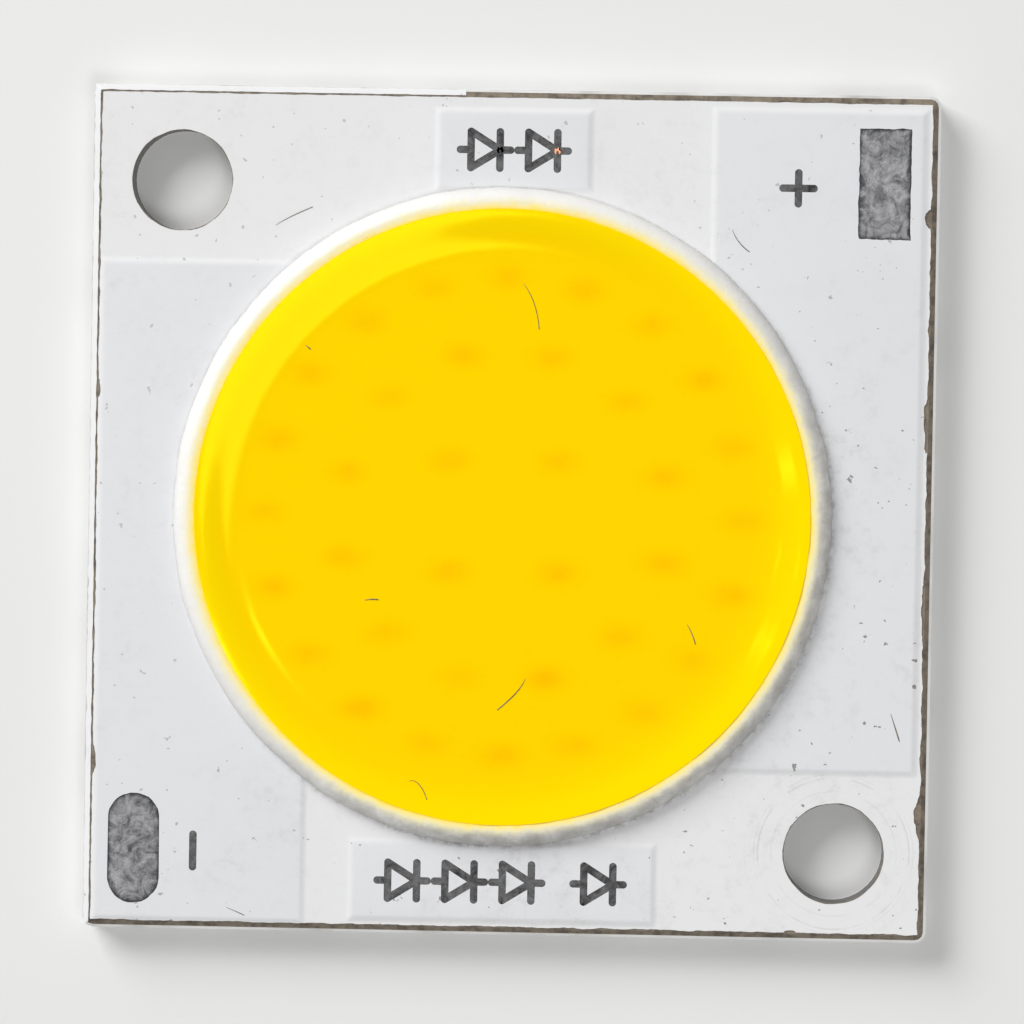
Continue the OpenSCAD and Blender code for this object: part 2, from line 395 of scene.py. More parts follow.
class Paint:
    """A material under construction. Its patterns are in millimetres in the object's own frame."""

    def __init__(self, name: str, roughness: float, metallic: float = 0.0, **sockets: object) -> None:
        """Starts a material with the values that are the same all over it.

        Args:
            name: The material's name.
            roughness: Roughness of the surface.
            metallic: 1 for bare metal.
            **sockets: Other sockets of the shader, with underscores for spaces.
        """
        self.material = bpy.data.materials.new(name)
        self.material.use_nodes = True
        self.tree = self.material.node_tree
        self.shader = self.tree.nodes["Principled BSDF"]
        self.shader.inputs["Roughness"].default_value = roughness
        self.shader.inputs["Metallic"].default_value = metallic
        for key, value in sockets.items():
            self.shader.inputs[key.replace("_", " ")].default_value = value
        where = self.tree.nodes.new("ShaderNodeTexCoord").outputs["Object"]
        self.place = self.vector("SCALE", where, scale=1 / MM)

    def feed(self, socket: bpy.types.NodeSocket, value: object) -> None:
        """Links a socket to another, or sets its value."""
        if isinstance(value, bpy.types.NodeSocket):
            self.tree.links.new(value, socket)
        elif isinstance(value, tuple) and len(value) == 3 and socket.type == "RGBA":
            socket.default_value = (*value, 1.0)
        else:
            socket.default_value = value

    def vector(self, operation: str, a: object, b: object = None, scale: float = 1.0) -> bpy.types.NodeSocket:
        """Vector arithmetic on one or two vectors."""
        node = self.tree.nodes.new("ShaderNodeVectorMath")
        node.operation = operation
        self.feed(node.inputs[0], a)
        if b is not None:
            self.feed(node.inputs[1], b)
        if operation == "SCALE":
            self.feed(node.inputs["Scale"], scale)
        return node.outputs["Value" if operation == "LENGTH" else "Vector"]

    def math(self, operation: str, a: object, b: object = 0.0, clamp: bool = False) -> bpy.types.NodeSocket:
        """Arithmetic on one or two numbers."""
        node = self.tree.nodes.new("ShaderNodeMath")
        node.operation = operation
        node.use_clamp = clamp
        self.feed(node.inputs[0], a)
        self.feed(node.inputs[1], b)
        return node.outputs[0]

    def noise(self, scale: float, detail: float = 3.0, roughness: float = 0.55, stretch: Vector | None = None,
              at: object = None, distortion: float = 0.0) -> bpy.types.NodeSocket:
        """Noise with a number of bumps to the millimetre.

        Args:
            scale: Bumps to the millimetre.
            detail: Octaves of finer noise.
            roughness: Strength of the finer noise.
            stretch: Scale along each axis.
            at: Where the noise is read, in place of the object's own frame.
            distortion: How far the noise is warped by itself.

        Returns:
            The noise, from 0 to 1.
        """
        node = self.tree.nodes.new("ShaderNodeTexNoise")
        where = at or self.place
        if stretch is not None:
            where = self.vector("MULTIPLY", where, tuple(stretch))
        self.feed(node.inputs["Vector"], where)
        for key, value in (("Scale", scale), ("Detail", detail), ("Roughness", roughness),
                           ("Distortion", distortion)):
            node.inputs[key].default_value = value
        return node.outputs["Fac"]

    def band(self, value: object, low: float, high: float) -> bpy.types.NodeSocket:
        """Smooth rise from 0 at one value to 1 at another, which may be the lower one."""
        node = self.tree.nodes.new("ShaderNodeMapRange")
        node.interpolation_type = "SMOOTHSTEP"
        self.feed(node.inputs["Value"], value)
        rising = low < high
        node.inputs["From Min"].default_value = low if rising else high
        node.inputs["From Max"].default_value = high if rising else low
        node.inputs["To Min"].default_value = 0.0 if rising else 1.0
        node.inputs["To Max"].default_value = 1.0 if rising else 0.0
        return node.outputs["Result"]

    def mix(self, factor: object, a: object, b: object) -> bpy.types.NodeSocket:
        """Colour between two others."""
        node = self.tree.nodes.new("ShaderNodeMix")
        node.data_type = "RGBA"
        self.feed(node.inputs["Factor"], factor)
        self.feed(node.inputs["A"], a) if node.inputs["A"].type == "RGBA" else None
        colour_a, colour_b = [s for s in node.inputs if s.type == "RGBA"]
        self.feed(colour_a, a)
        self.feed(colour_b, b)
        return next(s for s in node.outputs if s.type == "RGBA")

    def radius(self, centre: Vector) -> bpy.types.NodeSocket:
        """Distance in plan from an upright axis."""
        node = self.tree.nodes.new("ShaderNodeMapping")
        self.feed(node.inputs["Vector"], self.place)
        node.inputs["Location"].default_value = (-centre.x, -centre.y, 0)
        node.inputs["Scale"].default_value = (1, 1, 0)
        return self.vector("LENGTH", node.outputs["Vector"])

    def facing(self, centre: Vector, heading: float) -> bpy.types.NodeSocket:
        """Share of the way round to one side of an upright axis, from 0 behind it to 1.

        Args:
            centre: Where the axis stands.
            heading: Direction of the side, in degrees from +X.

        Returns:
            The share.
        """
        away = self.vector("SUBTRACT", self.place, tuple(centre))
        flat = self.vector("NORMALIZE", self.vector("MULTIPLY", away, (1.0, 1.0, 0.0)))
        turn = math.radians(heading)
        node = self.tree.nodes.new("ShaderNodeVectorMath")
        node.operation = "DOT_PRODUCT"
        self.feed(node.inputs[0], flat)
        self.feed(node.inputs[1], (math.cos(turn), math.sin(turn), 0.0))
        return self.band(node.outputs["Value"], -0.35, 0.75)

    def along_x(self, value: bpy.types.NodeSocket, scale: float) -> bpy.types.NodeSocket:
        """Vector with a number, times a scale, as its X."""
        node = self.tree.nodes.new("ShaderNodeCombineXYZ")
        self.feed(node.inputs["X"], self.math("MULTIPLY", value, scale))
        return node.outputs[0]

    def height(self) -> bpy.types.NodeSocket:
        """Height above the board's back."""
        node = self.tree.nodes.new("ShaderNodeSeparateXYZ")
        self.feed(node.inputs[0], self.place)
        return node.outputs["Z"]

    def attribute(self, name: str) -> bpy.types.NodeSocket:
        """A number stored on the piece's points."""
        node = self.tree.nodes.new("ShaderNodeAttribute")
        node.attribute_name = name
        return node.outputs["Fac"]

    def finish(self, colour: object, bump: object = None, depth: float = 0.01,
               roughness: object = None) -> bpy.types.Material:
        """Joins the patterns to the shader.

        Args:
            colour: Colour of the surface.
            bump: Relief of the surface, from 0 to 1.
            depth: Depth of the relief.
            roughness: Pattern of the roughness, in place of the value set at the start.

        Returns:
            The material.
        """
        self.feed(self.shader.inputs["Base Color"], colour)
        if bump is not None:
            node = self.tree.nodes.new("ShaderNodeBump")
            node.inputs["Distance"].default_value = depth * MM
            self.feed(node.inputs["Height"], bump)
            self.feed(self.shader.inputs["Normal"], node.outputs["Normal"])
        if roughness is not None:
            self.feed(self.shader.inputs["Roughness"], roughness)
        return self.material


@dataclass(frozen=True)
class CoatFinish:
    """White coat: satin, with faint orange peel, dirt with painted contact shadow beside the dam, and rings that a
    washer scratched.
    """

    colour: Colour = (0.735, 0.735, 0.74)
    raised: Colour = (0.69, 0.695, 0.71)
    # Darker colour for the smears, the washer rings and the painted contact shadow beside the dam.
    smudge_and_shadow: Colour = (0.42, 0.42, 0.42)
    speck: Colour = (0.20, 0.185, 0.17)
    roughness: float = 0.42
    washer_low: float = 1.9
    washer_high: float = 3.2
    # Width of the band of dirt and painted contact shadow beside the dam's foot.
    dirt_and_shadow_w: float = 0.22
    dirt_and_shade_heading: float = -50.0

    def paint(self, layout: Layout) -> bpy.types.Material:
        """Makes the material for a layout."""
        paint = Paint("white_coat", self.roughness)
        # side: share towards the lower right; it weights the smears, the specks and the painted contact shadow.
        side = paint.facing(layout.dam.middle, self.dirt_and_shade_heading)
        cloud = paint.band(paint.noise(0.30, 6.0, 0.68), 0.42, 0.72)
        mottle = paint.band(paint.noise(2.4, 5.0, 0.7), 0.45, 0.72)
        haze = paint.math("MULTIPLY", cloud, paint.math("ADD", 0.25, mottle))
        haze = paint.math("MULTIPLY", haze, paint.math("ADD", 0.16, paint.math("MULTIPLY", side, 0.18)))
        shade = paint.math("ADD", haze, self.washer_marks(paint, layout.holes[1]))
        foot = layout.crest_r + layout.tube_r
        # Band on the coat beside the dam's foot, heaviest on the lower-right side: dirt and painted contact
        # shadow.
        foot_dirt_and_shadow_band = paint.band(paint.radius(layout.dam.middle), foot + self.dirt_and_shadow_w, foot)
        foot_dirt_and_shadow_band = paint.math("MULTIPLY", foot_dirt_and_shadow_band, paint.band(paint.noise(3.2, 5.0, 0.75), 0.42, 0.66))
        shade = paint.math("ADD", shade, paint.math("MULTIPLY", foot_dirt_and_shadow_band, side), clamp=True)
        over_copper = paint.band(paint.height(), layout.coat_top + 0.02, layout.coat.high.z - 0.005)
        colour = paint.mix(over_copper, self.colour, self.raised)
        colour = paint.mix(shade, colour, self.smudge_and_shadow)
        dots = paint.band(paint.noise(3.6, 2.0, 0.5), 0.715, 0.745)
        many = paint.math("MULTIPLY", dots, paint.math("ADD", 0.45, paint.math("MULTIPLY", side, 0.5)))
        colour = paint.mix(many, colour, self.speck)
        return paint.finish(colour, paint.noise(5.0, 5.0, 0.6), 0.006)

    def washer_marks(self, paint: Paint, hole: Vector) -> bpy.types.NodeSocket:
        """Broken rings round a screw hole."""
        away = paint.radius(hole)
        inner = paint.band(away, self.washer_low, self.washer_low + 0.3)
        worn = paint.math("MULTIPLY", inner, paint.band(away, self.washer_high, self.washer_high - 0.6))
        rings = paint.band(paint.noise(1.0, 3.0, 0.7, at=paint.along_x(away, 9.0)), 0.50, 0.68)
        patches = paint.band(paint.noise(0.9, 3.0), 0.40, 0.60)
        return paint.math("MULTIPLY", worn, paint.math("MULTIPLY", rings, paint.math("MULTIPLY", patches, 0.5)))


@dataclass(frozen=True)
class AluminiumFinish:
    """Rolled aluminium: fine lines along X, and light scratches."""

    colour: Colour = (0.62, 0.62, 0.61)
    dull: Colour = (0.40, 0.39, 0.37)
    # Colour of the bores' walls: painted shade.
    painted_bore_shade: Colour = (0.16, 0.155, 0.15)
    roughness: float = 0.38

    def paint(self, layout: Layout) -> bpy.types.Material:
        """Makes the material, which is dull and painted dark with shade on the bores' walls."""
        paint = Paint("rolled_aluminium", self.roughness, metallic=1.0)
        lines = paint.noise(1.0, 6.0, 0.7, stretch=Vector((0.25, 14, 4)))
        patch = paint.noise(0.3, 4.0, 0.6)
        colour = paint.mix(paint.band(patch, 0.4, 0.75), self.colour, self.dull)
        # Painted shade: the walls of the screw holes are darkened.
        for hole in layout.holes:
            wall = paint.band(paint.radius(hole), layout.hole_r + 0.03, layout.hole_r + 0.01)
            inside = paint.math("MULTIPLY", wall, paint.band(paint.height(), 0.0, 0.06))
            colour = paint.mix(inside, colour, self.painted_bore_shade)
        bump = paint.math("ADD", lines, paint.math("MULTIPLY", patch, 0.4))
        return paint.finish(colour, bump, 0.006, paint.band(lines, -0.4, 1.6))


@dataclass(frozen=True)
class SpeckledFinish:
    """A matt or metallic solid colour with darker patches and a fine relief."""

    name: str
    colour: Colour
    patch: Colour
    roughness: float
    metallic: float = 0.0
    scale: float = 2.0
    depth: float = 0.006

    def paint(self) -> bpy.types.Material:
        """Makes the material."""
        paint = Paint(self.name, self.roughness, self.metallic)
        colour = paint.mix(paint.band(paint.noise(self.scale, 5.0, 0.65), 0.38, 0.68), self.colour, self.patch)
        return paint.finish(colour, paint.noise(3 * self.scale, 4.0), self.depth)


@dataclass(frozen=True)
class TinFinish:
    """Dull tin: cloudy grey metal, darker at the pad's border, with wipe lines."""

    bright: Colour = (0.23, 0.23, 0.235)
    dark: Colour = (0.045, 0.045, 0.05)
    roughness: float = 0.42

    def paint(self) -> bpy.types.Material:
        """Makes the material, which reads the attribute border from the piece."""
        paint = Paint("dull_tin", self.roughness, metallic=1.0)
        cloud = paint.noise(1.7, 8.0, 0.72, distortion=1.4)
        wipe = paint.noise(1.0, 5.0, 0.65, stretch=Vector((7, 2.5, 1)))
        tone = paint.math("ADD", paint.math("MULTIPLY", cloud, 0.75), paint.math("MULTIPLY", wipe, 0.3))
        tone = paint.math("SUBTRACT", tone, paint.math("MULTIPLY", paint.attribute("border"), 0.30))
        colour = paint.mix(paint.band(tone, 0.30, 0.66), self.dark, self.bright)
        return paint.finish(colour, paint.noise(5.0, 6.0, 0.65), 0.05, paint.band(cloud, 1.3, -0.2))


@dataclass(frozen=True)
class DamFinish:
    """White silicone: glossy, stained yellow where the gel meets it, with painted shade over its lower-right side,
    and dirt with painted contact shadow along its foot, heavier on that side.
    """

    colour: Colour = (0.80, 0.79, 0.76)
    # Grey laid in patches over the dam's lower-right side: painted shade.
    painted_side_shade: Colour = (0.43, 0.42, 0.39)
    stain: Colour = (1.0, 0.74, 0.03)
    blush: Colour = (0.88, 0.80, 0.46)
    # Dark colour at the dam's foot: dirt, and painted contact shadow where the bead meets the coat.
    dirt_and_contact_shadow: Colour = (0.15, 0.135, 0.12)
    roughness: float = 0.33
    # Direction, from +X, of the side with the painted shade and the heaviest dirt.
    dirt_and_shade_heading: float = -50.0

    def paint(self, layout: Layout) -> bpy.types.Material:
        """Makes the material for a layout."""
        paint = Paint("white_silicone", self.roughness)
        away = paint.radius(layout.dam.middle)
        # side: share towards the lower right, which carries the painted shade.
        side = paint.facing(layout.dam.middle, self.dirt_and_shade_heading)
        patchy = paint.band(paint.noise(1.4, 5.0, 0.65), 0.15, 0.70)
        # Painted shade: the lower-right side of the bead is greyed in patches.
        colour = paint.mix(paint.math("MULTIPLY", side, patchy), self.colour, self.painted_side_shade)
        wander = paint.math("MULTIPLY", paint.math("SUBTRACT", paint.noise(2.2, 5.0, 0.65), 0.5), 0.32)
        edge = paint.math("ADD", away, wander)
        brim = layout.gel.size.x / 2
        colour = paint.mix(paint.band(edge, brim + 0.50, brim + 0.08), colour, self.blush)
        colour = paint.mix(paint.band(edge, brim + 0.28, brim - 0.10), colour, self.stain)
        low = paint.band(paint.height(), layout.coat_top + 0.36, layout.coat_top + 0.14)
        # Band at the foot of the bead, heavier on the lower-right side: dirt and painted contact shadow.
        foot_dirt_and_shadow_band = paint.math("MULTIPLY", low, paint.band(paint.noise(3.0, 5.0, 0.72), 0.40, 0.62))
        outer = paint.math("MULTIPLY", foot_dirt_and_shadow_band, paint.band(away, layout.crest_r, layout.crest_r + 0.2))
        strength = paint.math("ADD", 0.4, paint.math("MULTIPLY", side, 0.5))
        colour = paint.mix(paint.math("MULTIPLY", outer, strength), colour, self.dirt_and_contact_shadow)
        return paint.finish(colour, paint.noise(4.5, 5.0, 0.6), 0.02)


@dataclass(frozen=True)
class GelFinish:
    """Yellow phosphor gel: glossy and opaque, a little more orange over each die."""

    colour: Colour = (1.0, 0.65, 0.0)
    deep: Colour = (0.98, 0.48, 0.0)
    pale: Colour = (1.0, 0.71, 0.0)
    roughness: float = 0.10

    def paint(self, layout: Layout) -> bpy.types.Material:
        """Makes the material, which reads the attribute die_shade from the piece."""
        paint = Paint("phosphor_gel", self.roughness, Specular_Tint=(1.0, 0.9, 0.02, 1.0))
        grain = paint.noise(4.0, 4.0, 0.7)
        cloud = paint.noise(0.5, 4.0, 0.6)
        away = paint.radius(layout.dam.middle)
        rim = paint.band(away, layout.gel.size.x / 2 - 1.2, layout.gel.size.x / 2)
        colour = paint.mix(rim, self.colour, self.pale)
        shade = paint.math("MULTIPLY", paint.attribute("die_shade"), paint.band(cloud, -0.1, 0.9))
        shade = paint.math("ADD", shade, paint.math("MULTIPLY", paint.band(grain, 0.5, 0.8), 0.12), clamp=True)
        colour = paint.mix(shade, colour, self.deep)
        return paint.finish(colour, paint.noise(2.0, 3.0), 0.002)


# Sub-assemblies


@dataclass
class Board:
    """The punched aluminium plate and the insulating layer on it, which keep their CAD shapes."""

    nodes: dict
    layout: Layout

    def dress(self) -> None:
        """Gives the CAD nodes their finishes."""
        wear(self.nodes["base_plate"], AluminiumFinish().paint(self.layout))
        resin = SpeckledFinish("resin_edge", (0.20, 0.165, 0.12), (0.07, 0.055, 0.04), 0.6, scale=2.5)
        wear(self.nodes["dielectric_layer"], resin.paint())


@dataclass
class Circuit:
    """Copper, adhesive, dies and gold wires, which keep their CAD shapes."""

    nodes: dict

    def dress(self) -> None:
        """Gives the CAD nodes their finishes."""
        copper = SpeckledFinish("etched_copper", (0.72, 0.36, 0.22), (0.50, 0.24, 0.14), 0.45, 1.0).paint()
        glue = SpeckledFinish("silver_adhesive", (0.66, 0.66, 0.65), (0.45, 0.45, 0.44), 0.5, scale=8.0).paint()
        gold = SpeckledFinish("gold_wire", (0.95, 0.68, 0.25), (0.85, 0.55, 0.18), 0.25, 1.0, 20.0, 0.001).paint()
        die = SpeckledFinish("sapphire_die", (0.22, 0.30, 0.42), (0.15, 0.20, 0.30), 0.15, scale=6.0).paint()
        for name, node in self.nodes.items():
            if name.startswith(("copper", "legend")):
                wear(node, copper)
            elif name == "die_attach":
                wear(node, glue)
            elif name.startswith("wires"):
                wear(node, gold)
            elif name.startswith("die_"):
                wear(node, die)


@dataclass
class WhiteCoat:
    """The white coat: a thin sheet that steps up over the copper, torn at the board's edge."""

    layout: Layout
    edge_in: float = 0.27
    step_level: float = 0.02
    step_reach: float = 0.32
    step_lines: int = 5
    opening_gap: float = 0.025
    chips: tuple[tuple[float, float, float, float], ...] = (
        (13.75, 9.95, 0.20, 0.30),
        (13.80, 3.20, 0.18, 0.90),
        (13.80, -3.00, 0.16, 1.00),
        (13.80, -9.80, 0.26, 0.75),
        (9.55, -13.80, 0.28, 0.16),
        (2.10, -13.82, 0.40, 0.12),
        (-13.80, 4.10, 0.14, 0.60),
        (-13.80, -2.60, 0.12, 0.90),
        (-13.78, -8.40, 0.14, 0.50),
    )

    def edge_outline(self) -> Outline:
        """Outline of the coat along the board's edge."""
        half = self.layout.board.size.x / 2 - self.edge_in
        corners = [Vector(c) * half for c in ((-1, -1), (1, -1), (1, 1), (-1, 1), (-1, -1))]

        def outline(share: float) -> tuple[float, float]:
            along = share * 4
            k = min(int(along), 3)
            side = list(Side)[k]
            point = corners[k].lerp(corners[k + 1], along - k)
            shift = side.value * (rough(point.x * 1.7, point.y * 1.7, 3.0) - 0.3)
            scale = 1 + shift / half
            return point.x * scale, point.y * scale

        return outline

    def sheet(self) -> bpy.types.Object:
        """Sheet over the whole board, with lines where it steps up, raised and given its thickness."""
        layout = self.layout
        bpy.ops.mesh.primitive_plane_add(size=layout.board.size.x * MM, location=(0, 0, layout.coat_top * MM))
        piece = start("white_coat")
        lines = [self.step_level + self.step_reach * k / self.step_lines for k in range(self.step_lines + 1)]
        with editing(piece):
            for span in layout.pours + layout.lands:
                for away in lines:
                    for place, normal in (
                        ((span.low.x - away, 0, 0), (1, 0, 0)),
                        ((span.high.x + away, 0, 0), (1, 0, 0)),
                        ((0, span.low.y - away, 0), (0, 1, 0)),
                        ((0, span.high.y + away, 0), (0, 1, 0)),
                    ):
                        bpy.ops.mesh.select_all(action="SELECT")
                        bpy.ops.mesh.bisect(plane_co=Vector(place) * MM, plane_no=normal, threshold=NEAR)
        rise = layout.coat.high.z - layout.coat_top
        for vertex in piece.data.vertices:
            x, y = vertex.co.x / MM, vertex.co.y / MM
            vertex.co.z += rise * layout.coat_rise(x, y, self.step_level, self.step_reach) * MM
        modify(piece, "SOLIDIFY", thickness=layout.coat_t * MM, offset=-1.0)
        return piece

    def build(self, openings: Sequence[bpy.types.Object]) -> bpy.types.Object:
        """Makes the coat.

        Args:
            openings: Prisms of the openings for the pads and the marks.

        Returns:
            The finished piece.
        """
        layout = self.layout
        low, high = layout.coat.low.z - 0.5, layout.coat.high.z + 0.5
        piece = self.sheet()
        frame = prism("edge", self.edge_outline(), 4 * 400, low, high)
        modify(piece, "BOOLEAN", operation="INTERSECT", solver="EXACT", object=frame)
        discard(frame)
        cutters = list(openings)
        window = blob(layout.dam.middle, layout.crest_r, layout.crest_r, 0.0, 0.0)
        cutters.append(prism("window", window, 192, low, high))
        for k, hole in enumerate(layout.holes):
            r = layout.hole_r + self.opening_gap
            cutters.append(prism("hole", blob(hole, r, r, 0.02, 7.0 + k), 160, low, high))
        for k, (x, y, half_x, half_y) in enumerate(self.chips):
            cutters.append(prism("chip", blob(Vector((x, y, 0)), half_x, half_y, 0.06, 20.0 + k), 48, low, high))
        cut(piece, cutters)
        face_outwards(piece)
        smooth(piece, 14)
        return dress(piece, CoatFinish().paint(layout), Slot.COAT, "solder_mask")


@dataclass
class CoatRim:
    """Narrow strip of the coat that still covers the rolled edge on the left and at the back left."""

    layout: Layout
    back_length: float = 12.3
    inner: float = 0.215
    outer: float = 0.03
    roll_w: float = 0.3
    roll_depth: float = 0.2
    lift: float = 0.004
    thickness: float = 0.012
    rings: int = 420

    def build(self) -> bpy.types.Object:
        """Makes the strip."""
        half = self.layout.board.size.x / 2
        bpy.ops.mesh.primitive_grid_add(x_subdivisions=self.rings, y_subdivisions=3, size=1)
        piece = start("coat_rim")
        length = 2 * half + self.back_length
        for vertex in piece.data.vertices:
            along, across = vertex.co.x + 0.5, vertex.co.y + 0.5
            s = along * length
            x, y = (-half, s - half) if s < 2 * half else (s - 3 * half, half)
            worn = 0.05 * max(rough(x * 1.3, y * 1.3, 5.0) - 0.1, 0) if y < 9 else 0.0
            wander = 0.02 * rough(x * 2.5, y * 2.5, 9.0 + across)
            inset = self.outer + worn + (self.inner - self.outer - worn) * across + wander
            inset = min(max(inset, 0.012), self.inner + 0.03)
            z = self.layout.coat_top - self.roll_depth * (1 - inset / self.roll_w) + self.lift + self.thickness
            vertex.co = Vector((max(x, -half + inset), min(max(y, -half + inset), half - inset), z)) * MM
        modify(piece, "SOLIDIFY", thickness=self.thickness * MM, offset=-1.0)
        face_outwards(piece)
        smooth(piece, 40)
        return dress(piece, CoatFinish().paint(self.layout), Slot.COAT)


@dataclass
class Pads:
    """The two tinned solder pads: lumpy, with a low border."""

    layout: Layout
    ragged: float = 0.03
    lump: float = 0.014
    border: float = 0.07
    steps: int = 90

    def outline(self, span: Span, round_ends: bool) -> Outline:
        """Outline of a pad, with round or square ends."""
        half = span.size / 2
        middle = span.middle
        if round_ends:
            bar = Vector((0, half.y - half.x, 0))
            plain = capsule(middle - bar, middle + bar, half.x)
        else:
            corners = [middle + Vector((half.x * a, half.y * b, 0)) for a, b in
                       ((-1, -1), (1, -1), (1, 1), (-1, 1), (-1, -1))]

            def plain(share: float) -> tuple[float, float]:
                k = min(int(share * 4), 3)
                point = corners[k].lerp(corners[k + 1], share * 4 - k)
                return point.x, point.y

        def outline(share: float) -> tuple[float, float]:
            x, y = plain(share)
            shift = self.ragged * rough(x * 2.0, y * 2.0, 31.0)
            return x + shift * (x - middle.x) / half.x, y + shift * (y - middle.y) / half.y

        return outline

    def opening(self, span: Span, round_ends: bool) -> bpy.types.Object:
        """Prism that opens the coat for a pad."""
        low, high = self.layout.copper_top - 0.4, self.layout.coat.high.z + 0.4
        return prism("pad_opening", self.outline(span, round_ends), 240, low, high)

    def build(self, name: str, node: str, round_ends: bool) -> bpy.types.Object:
        """Makes one pad.

        Args:
            name: The piece's name.
            node: The CAD node that it stands for.
            round_ends: Whether its ends are round.

        Returns:
            The finished piece.
        """
        span = Span.of(node)
        half, middle = span.size / 2, span.middle
        bpy.ops.mesh.primitive_grid_add(x_subdivisions=self.steps // 2, y_subdivisions=self.steps, size=1)
        piece = start(name)
        for vertex in piece.data.vertices:
            x = middle.x + vertex.co.x * (span.size.x + 0.2)
            y = middle.y + vertex.co.y * (span.size.y + 0.2)
            over = max(abs(y - middle.y) - (half.y - half.x), 0.0) if round_ends else 0.0
            inside = half.x - math.hypot(x - middle.x, over) if round_ends else -span.outside(x, y)
            fall = math.exp(-max(inside, 0.0) / self.border)
            z = span.high.z + self.lump * rough(x * 1.1, y * 1.1, 40.0) - 0.5 * span.size.z * fall
            vertex.co = Vector((x, y, min(z, self.layout.coat.high.z - 0.004))) * MM
        modify(piece, "SOLIDIFY", thickness=span.size.z * 0.9 * MM, offset=-1.0)
        edge = prism("edge", self.outline(span, round_ends), 240, span.low.z - 0.5, span.high.z + 0.5)
        modify(piece, "BOOLEAN", operation="INTERSECT", solver="EXACT", object=edge)
        discard(edge)
        face_outwards(piece)
        smooth(piece, 35)
        store(piece, "border", lambda p: self.border_share(p, span, round_ends))
        return dress(piece, TinFinish().paint(), Slot.TIN, node)

    def border_share(self, point: Vector, span: Span, round_ends: bool) -> float:
        """How near a point is to a pad's border, from 0 to 1."""
        half, middle = span.size / 2, span.middle
        over = max(abs(point.y - middle.y) - (half.y - half.x), 0.0) if round_ends else 0.0
        inside = half.x - math.hypot(point.x - middle.x, over) if round_ends else -span.outside(point.x, point.y)
        return math.exp(-max(inside, 0.0) / self.border)


@dataclass
class Marks:
    """Polarity signs and plain circuit signs: strokes left open in the coat, with tin in them."""

    layout: Layout
    stroke: float = 0.125
    plus_at: tuple[float, float] = (9.33, 10.90)
    plus_half: float = 0.51
    minus_at: tuple[float, float] = (-10.34, -11.38)
    minus_half: float = 0.54
    sign_h: float = 1.2

    def diode(self, x: float, y: float) -> list[tuple[Vector, Vector]]:
        """Strokes of one diode sign: a triangle that points right, a bar and two leads."""
        h, w = self.sign_h / 2, self.sign_h * 0.8
        left, tip = x - w / 2, x + w / 2
        ends = [
            ((left, y - h), (left, y + h)),
            ((left, y + h), (tip, y)),
            ((left, y - h), (tip, y)),
            ((tip, y - h), (tip, y + h)),
            ((left - 0.35, y), (left, y)),
            ((tip, y), (tip + 0.35, y)),
        ]
        return [(Vector(a), Vector(b)) for a, b in ends]

    def strokes(self) -> list[tuple[Vector, Vector]]:
        """Every stroke, as its two ends."""
        px, py = self.plus_at
        mx, my = self.minus_at
        signs = [
            (Vector((px - self.plus_half, py)), Vector((px + self.plus_half, py))),
            (Vector((px, py - self.plus_half)), Vector((px, py + self.plus_half))),
            (Vector((mx, my - self.minus_half)), Vector((mx, my + self.minus_half))),
        ]
        top, bottom = self.layout.lands
        for k in range(2):
            signs += self.diode(top.middle.x + 1.9 * (k - 0.5), top.middle.y)
        for k in range(3):
            signs += self.diode(bottom.middle.x - 3.3 + 1.9 * k, bottom.middle.y)
        signs += self.diode(bottom.middle.x + 3.2, bottom.middle.y)
        return signs

    def prisms(self, r: float, low: float, high: float) -> list[bpy.types.Object]:
        """A prism for every stroke, with a radius at its ends."""
        return [prism("stroke", capsule(a, b, r), 40, low, high) for a, b in self.strokes()]

    def openings(self) -> list[bpy.types.Object]:
        """Prisms that open the coat for the strokes."""
        return self.prisms(self.stroke, self.layout.copper_top - 0.4, self.layout.coat.high.z + 0.4)

    def build(self) -> bpy.types.Object:
        """Makes the tin that shows in the strokes."""
        low = self.layout.copper_top
        first, *others = self.prisms(self.stroke, low, low + 0.026)
        cut(first, others, "UNION")
        face_outwards(first)
        first.name = first.data.name = "mark_tin"
        smooth(first, 30)
        # The strokes get a darker copy of the pads' tin: painted shade standing in for the dark surroundings their
        # shiny tin reflects.
        return dress(first, TinFinish(bright=(0.10, 0.10, 0.10), dark=(0.02, 0.02, 0.02)).paint(), Slot.TIN)


@dataclass
class Dam:
    """The white silicone dam: a bead of round section with lumps, rougher at the back left."""

    layout: Layout
    turns: int = 720
    sides: int = 40
    lump: float = 0.028
    fuzz: float = 0.03
    sunk: float = 0.02

    def build(self) -> bpy.types.Object:
        """Makes the bead."""
        layout = self.layout
        middle = layout.dam.middle
        centre_z = layout.dam.high.z - layout.tube_r
        bpy.ops.mesh.primitive_torus_add(
            location=Vector((middle.x, middle.y, centre_z)) * MM,
            major_segments=self.turns, minor_segments=self.sides,
            major_radius=layout.crest_r * MM, minor_radius=layout.tube_r * MM,
        )
        piece = start("silicone_dam")
        for vertex in piece.data.vertices:
            point = vertex.co / MM
            turn = math.atan2(point.y - middle.y, point.x - middle.x)
            ring = Vector((middle.x + layout.crest_r * math.cos(turn), middle.y + layout.crest_r * math.sin(turn),
                           centre_z))
            out = (point - ring).normalized()
            outer = max(math.cos(turn) * out.x + math.sin(turn) * out.y, 0.0)
            torn = max(math.cos(turn - math.radians(140)), 0.0) * outer
            grow = self.lump * noise.fractal(point * 0.8, 0.8, 2.0, 3)
            grow += self.fuzz * torn * noise.fractal(point * 6.0, 0.7, 2.0, 3)
            grow -= 0.5 * self.lump
            point = point + out * min(grow, 0.0 if out.z > 0.7 else 0.03)
            point.z = max(point.z, layout.coat_top - self.sunk)
            vertex.co = point * MM
        smooth(piece, 60)
        return dress(piece, DamFinish().paint(layout), Slot.DAM, "dam_ring")


